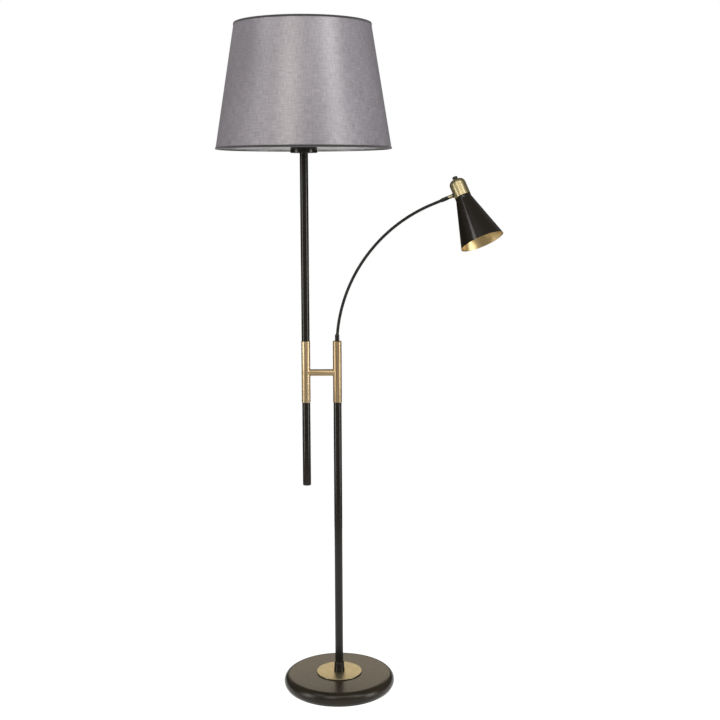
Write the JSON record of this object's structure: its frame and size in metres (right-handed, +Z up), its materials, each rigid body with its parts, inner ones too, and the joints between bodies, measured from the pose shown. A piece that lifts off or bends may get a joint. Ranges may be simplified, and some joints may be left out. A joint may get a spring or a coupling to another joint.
{
  "type": "floor lamp with gooseneck reading spot",
  "caption": "Free-standing floor lamp: a tapered fabric drum shade on a slim pole, joined by a brass coupler to the base pole and to a gooseneck with a small cone reading spot.",
  "frame": {"origin": "centre of the round base's underside, on the floor", "axes": "+Z up along the base pole, +X from the shaded pole towards the reading spot, -Y the front"},
  "size_m": [0.6525, 0.4018, 1.5517],
  "materials": {
    "black_paint": "satin black powder coat",
    "brass": "brushed antique, lacquered",
    "steel": "zinc plated",
    "cast_iron": "rough cast",
    "rubber": "matt",
    "felt": "pressed felt",
    "moulded_plastic": "moulded satin",
    "lampshade_cloth": "plain weave laminated to card",
    "trim_tape": "woven tape",
    "glass": "frosted",
    "lead_sheath": "extruded"
  },
  "bodies": {
    "stand": {"base_cover": "black_paint", "base_weight": "cast_iron", "base_pad": "felt", "base_rosette": "brass", "pole_collar": "black_paint", "base_nipple": "steel", "base_washer": "steel", "base_lock_nut": "steel", "cord_grommet": "rubber", "lower_pole": "black_paint", "pole_foot_bush": "steel", "left_sleeve": "brass", "right_sleeve": "brass", "crossbar": "brass", "coupler_core": "steel", "sleeve_grub_screw": "steel", "upper_joiner": "steel", "tail_joiner": "steel", "upper_pole": "black_paint", "holder_stud": "steel", "tail_tube": "black_paint", "tail_end_plug": "rubber", "holder_cup": "black_paint", "holder_cap": "moulded_plastic", "holder_body": "moulded_plastic", "holder_screw_shell": "brass", "shade_ring_nut": "moulded_plastic", "main_bulb_cap": "steel", "main_bulb_glass": "glass", "shade_fabric": "lampshade_cloth", "shade_top_ring": "steel", "shade_bottom_frame": "steel", "shade_top_trim": "trim_tape", "shade_bottom_trim": "trim_tape", "supply_lead": "lead_sheath"},
    "neck_root": {"lower_ferrule": "black_paint"},
    "neck_01": {"neck_link_01": "black_paint"},
    "neck_02": {"neck_link_02": "black_paint"},
    "neck_03": {"neck_link_03": "black_paint"},
    "neck_04": {"neck_link_04": "black_paint"},
    "neck_05": {"neck_link_05": "black_paint"},
    "neck_06": {"neck_link_06": "black_paint"},
    "neck_07": {"neck_link_07": "black_paint"},
    "neck_08": {"neck_link_08": "black_paint"},
    "neck_09": {"neck_link_09": "black_paint"},
    "neck_10": {"neck_link_10": "black_paint", "upper_ferrule": "black_paint", "swivel_nipple": "brass", "swivel_washer": "rubber", "swivel_lock_nut": "steel"},
    "head": {"head_cap": "brass", "spot_lampholder": "moulded_plastic", "spot_ring_nut": "moulded_plastic", "spot_shade": "black_paint", "spot_bulb_cap": "steel", "spot_bulb_glass": "glass", "switch_body": "moulded_plastic", "switch_nut": "black_paint"},
    "knob": {"switch_knob": "black_paint"}
  },
  "joints": [
    {"name": "neck_turn", "type": "hinge", "parent": "stand", "child": "neck_root", "pos_m": [0, 0, 0.8313], "axis": [0, 0, 1], "range_deg": [-135, 135]},
    {"name": "neck_bend_01", "type": "hinge", "parent": "neck_root", "child": "neck_01", "pos_m": [0, 0, 0.8474], "axis": [0, 1, 0], "range_deg": [-1, 9]},
    {"name": "neck_bend_02", "type": "hinge", "parent": "neck_01", "child": "neck_02", "pos_m": [0.00588, 0, 0.88798], "axis": [0, 1, 0], "range_deg": [-1, 9]},
    {"name": "neck_bend_03", "type": "hinge", "parent": "neck_02", "child": "neck_03", "pos_m": [0.01639, 0, 0.92761], "axis": [0, 1, 0], "range_deg": [-1, 9]},
    {"name": "neck_bend_04", "type": "hinge", "parent": "neck_03", "child": "neck_04", "pos_m": [0.0314, 0, 0.96576], "axis": [0, 1, 0], "range_deg": [-1, 9]},
    {"name": "neck_bend_05", "type": "hinge", "parent": "neck_04", "child": "neck_05", "pos_m": [0.05069, 0, 1.00194], "axis": [0, 1, 0], "range_deg": [-1, 9]},
    {"name": "neck_bend_06", "type": "hinge", "parent": "neck_05", "child": "neck_06", "pos_m": [0.07401, 0, 1.03566], "axis": [0, 1, 0], "range_deg": [-1, 9]},
    {"name": "neck_bend_07", "type": "hinge", "parent": "neck_06", "child": "neck_07", "pos_m": [0.10106, 0, 1.06647], "axis": [0, 1, 0], "range_deg": [-1, 9]},
    {"name": "neck_bend_08", "type": "hinge", "parent": "neck_07", "child": "neck_08", "pos_m": [0.13147, 0, 1.09397], "axis": [0, 1, 0], "range_deg": [-1, 9]},
    {"name": "neck_bend_09", "type": "hinge", "parent": "neck_08", "child": "neck_09", "pos_m": [0.16484, 0, 1.11778], "axis": [0, 1, 0], "range_deg": [-1, 9]},
    {"name": "neck_bend_10", "type": "hinge", "parent": "neck_09", "child": "neck_10", "pos_m": [0.20074, 0, 1.1376], "axis": [0, 1, 0], "range_deg": [-1, 9]},
    {"name": "head_turn", "type": "hinge", "parent": "neck_10", "child": "head", "pos_m": [0.28558, 0, 1.1724], "axis": [0.9252, 0, 0.3795], "range_deg": [-72, 108]},
    {"name": "knob_turn", "type": "hinge", "parent": "head", "child": "knob", "pos_m": [0.27313, 0.01066, 1.20276], "axis": [-0.3609, 0.309, 0.8799], "continuous": true}
  ]
}
